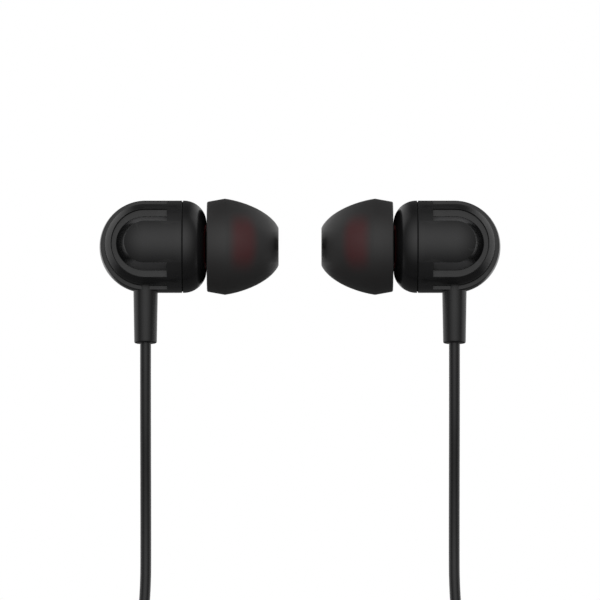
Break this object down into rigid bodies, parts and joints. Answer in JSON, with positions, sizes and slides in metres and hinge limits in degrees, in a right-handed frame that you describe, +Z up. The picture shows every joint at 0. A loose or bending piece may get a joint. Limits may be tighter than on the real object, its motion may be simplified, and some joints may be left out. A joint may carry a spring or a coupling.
{
  "type": "wired earphones",
  "caption": "Wired in-ear earphones with silicone tips, recessed bullet housings, Y cord with in-line button and a straight 3.5 mm plug, spare cord coiled.",
  "frame": {"origin": "on the surface that the earphones lie on, midway between the two buds", "axes": "+X from the left bud to the right bud along both bud axes, cords leave the buds along -Y, +Z up from the surface"},
  "size_m": [0.0502, 0.1442, 0.0121],
  "materials": {
    "housing_plastic": "satin black moulded plastic",
    "silicone_dome": "translucent smoky black silicone",
    "silicone_core": "red silicone",
    "cord_jacket": "smooth matt black thermoplastic elastomer",
    "boot_rubber": "satin black elastomer",
    "mesh_steel": "fine perforated stainless steel",
    "driver_plastic": "black moulded plastic",
    "yoke_steel": "zinc-plated steel",
    "magnet": "nickel-plated magnet",
    "coil_copper": "enamelled copper wire",
    "film": "clear polyester film",
    "ring_brass": "bare brass",
    "circuit_board": "green solder mask over glass epoxy",
    "switch_metal": "tin-plated steel",
    "button_plastic": "fine-textured black plastic",
    "plug_gold": "gold-plated brass",
    "insulator": "black nylon",
    "tie": "black polyethylene-coated tie"
  },
  "bodies": {
    "earphones": {"control_board": "circuit_board", "control_bottom_shell": "housing_plastic", "control_microphone": "switch_metal", "control_switch": "switch_metal", "control_top_shell": "housing_plastic", "left_branch_boot": "boot_rubber", "left_cable_knot": "cord_jacket", "left_coil_tie": "tie", "left_cord_coil": "cord_jacket", "left_cord_lower": "cord_jacket", "left_cord_upper": "cord_jacket", "left_diaphragm_ring": "ring_brass", "left_driver_board": "circuit_board", "left_driver_frame": "driver_plastic", "left_driver_magnet": "magnet", "left_driver_top_plate": "yoke_steel", "left_driver_yoke": "yoke_steel", "left_front_housing": "housing_plastic", "left_nozzle_mesh": "mesh_steel", "left_rear_housing": "housing_plastic", "left_strain_relief": "boot_rubber", "main_boot": "boot_rubber", "main_coil_tie": "tie", "main_cord_coil": "cord_jacket", "main_cord_lower": "cord_jacket", "main_cord_upper": "cord_jacket", "plug_boot": "boot_rubber", "plug_grip": "housing_plastic", "plug_insulators": "insulator", "plug_ring_1": "plug_gold", "plug_ring_2": "plug_gold", "plug_sleeve": "plug_gold", "plug_tip": "plug_gold", "right_branch_boot": "boot_rubber", "right_cable_knot": "cord_jacket", "right_coil_tie": "tie", "right_cord_coil": "cord_jacket", "right_cord_lower": "cord_jacket", "right_cord_upper": "cord_jacket", "right_diaphragm_ring": "ring_brass", "right_driver_board": "circuit_board", "right_driver_frame": "driver_plastic", "right_driver_magnet": "magnet", "right_driver_top_plate": "yoke_steel", "right_driver_yoke": "yoke_steel", "right_front_housing": "housing_plastic", "right_nozzle_mesh": "mesh_steel", "right_rear_housing": "housing_plastic", "right_strain_relief": "boot_rubber"},
    "left_tip": {"left_ear_tip": "silicone_dome", "left_ear_tip_core": "silicone_core"},
    "right_tip": {"right_ear_tip": "silicone_dome", "right_ear_tip_core": "silicone_core"},
    "left_diaphragm_assembly": {"left_diaphragm": "film", "left_voice_coil": "coil_copper"},
    "right_diaphragm_assembly": {"right_diaphragm": "film", "right_voice_coil": "coil_copper"},
    "button": {"control_button": "button_plastic", "control_plunger": "driver_plastic"}
  },
  "joints": [
    {"name": "left_tip_pull", "type": "slide", "parent": "earphones", "child": "left_tip", "axis": [1, 0, 0], "range_m": [0, 0.0045]},
    {"name": "right_tip_pull", "type": "slide", "parent": "earphones", "child": "right_tip", "axis": [1, 0, 0], "range_m": [-0.0045, 0]},
    {"name": "left_diaphragm_travel", "type": "slide", "parent": "earphones", "child": "left_diaphragm_assembly", "axis": [1, 0, 0], "range_m": [-0.0002, 0.0002], "stiffness_N_per_m": 10},
    {"name": "right_diaphragm_travel", "type": "slide", "parent": "earphones", "child": "right_diaphragm_assembly", "axis": [1, 0, 0], "range_m": [-0.0002, 0.0002], "stiffness_N_per_m": 10},
    {"name": "button_press", "type": "slide", "parent": "earphones", "child": "button", "axis": [0, 0, -1], "range_m": [0, 0.0003], "stiffness_N_per_m": 1500}
  ]
}
